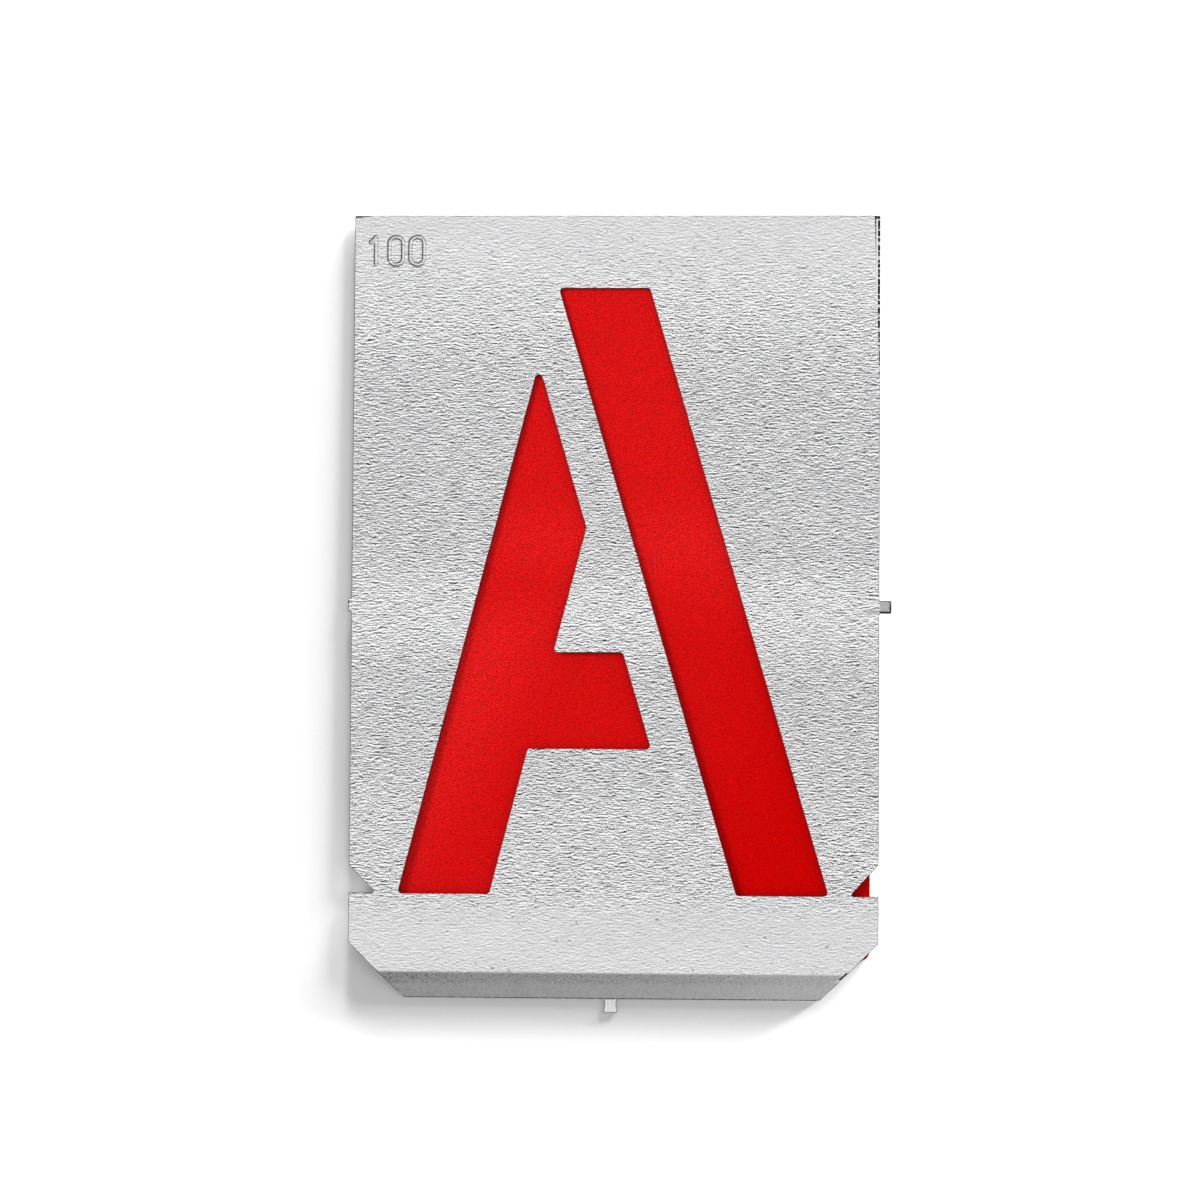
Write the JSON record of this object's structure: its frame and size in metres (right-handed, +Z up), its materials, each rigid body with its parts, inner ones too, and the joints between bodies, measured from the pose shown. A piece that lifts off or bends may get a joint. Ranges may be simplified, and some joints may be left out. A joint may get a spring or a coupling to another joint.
{
  "type": "lettering stencil",
  "caption": "Flat metal lettering stencil with the letter A cut through in two openings, a bent lip along its foot and a loose backing card.",
  "frame": {"origin": "on the ground, under the middle of the whole outline with its stubs", "axes": "+Z up out of the face of the stencil, +Y towards the top of the letter, +X to its right"},
  "size_m": [0.0896, 0.1314, 0.0018],
  "materials": {
    "brushed_sheet": "brushed, with a fine horizontal grain",
    "red_card": "matte, coloured through"
  },
  "bodies": {
    "sheet": {"stencil_plate": "brushed_sheet"},
    "card": {"backing_card": "red_card"}
  },
  "joints": [
    {"name": "card_slide", "type": "slide", "parent": "sheet", "child": "card", "axis": [1, 0, 0], "range_m": [-0.082, 0.078]}
  ]
}
